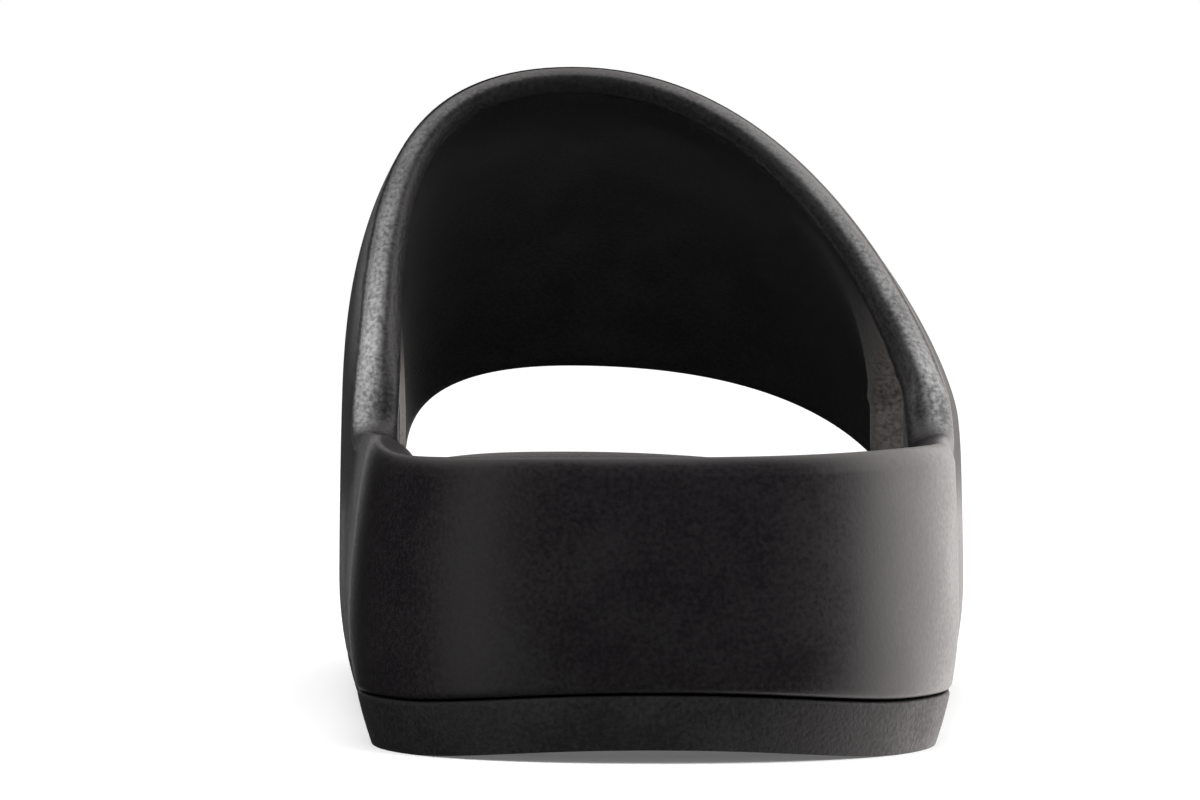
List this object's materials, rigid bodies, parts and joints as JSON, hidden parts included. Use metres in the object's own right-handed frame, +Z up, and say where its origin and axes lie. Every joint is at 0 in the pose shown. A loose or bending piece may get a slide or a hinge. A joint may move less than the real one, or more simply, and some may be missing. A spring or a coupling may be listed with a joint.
{
  "type": "slide sandal, right shoe",
  "caption": "Moulded foam slide sandal for the right foot: a wide closed strap that runs into a cupped midsole, a soft insole and a grooved outsole.",
  "frame": {"origin": "Middle of the bottom of the box round the shoe, on the floor it stands on.", "axes": "+Y from heel to toe, +X to the outer (little-toe) side, +Z up."},
  "size_m": [0.108, 0.2873, 0.105],
  "materials": {
    "moulded_foam": "satin, finely grained",
    "footbed_foam": "matte",
    "tread_foam": "matte"
  },
  "bodies": {
    "root": {"upper_and_midsole": "moulded_foam", "insole": "footbed_foam", "outsole": "tread_foam"}
  },
  "joints": []
}
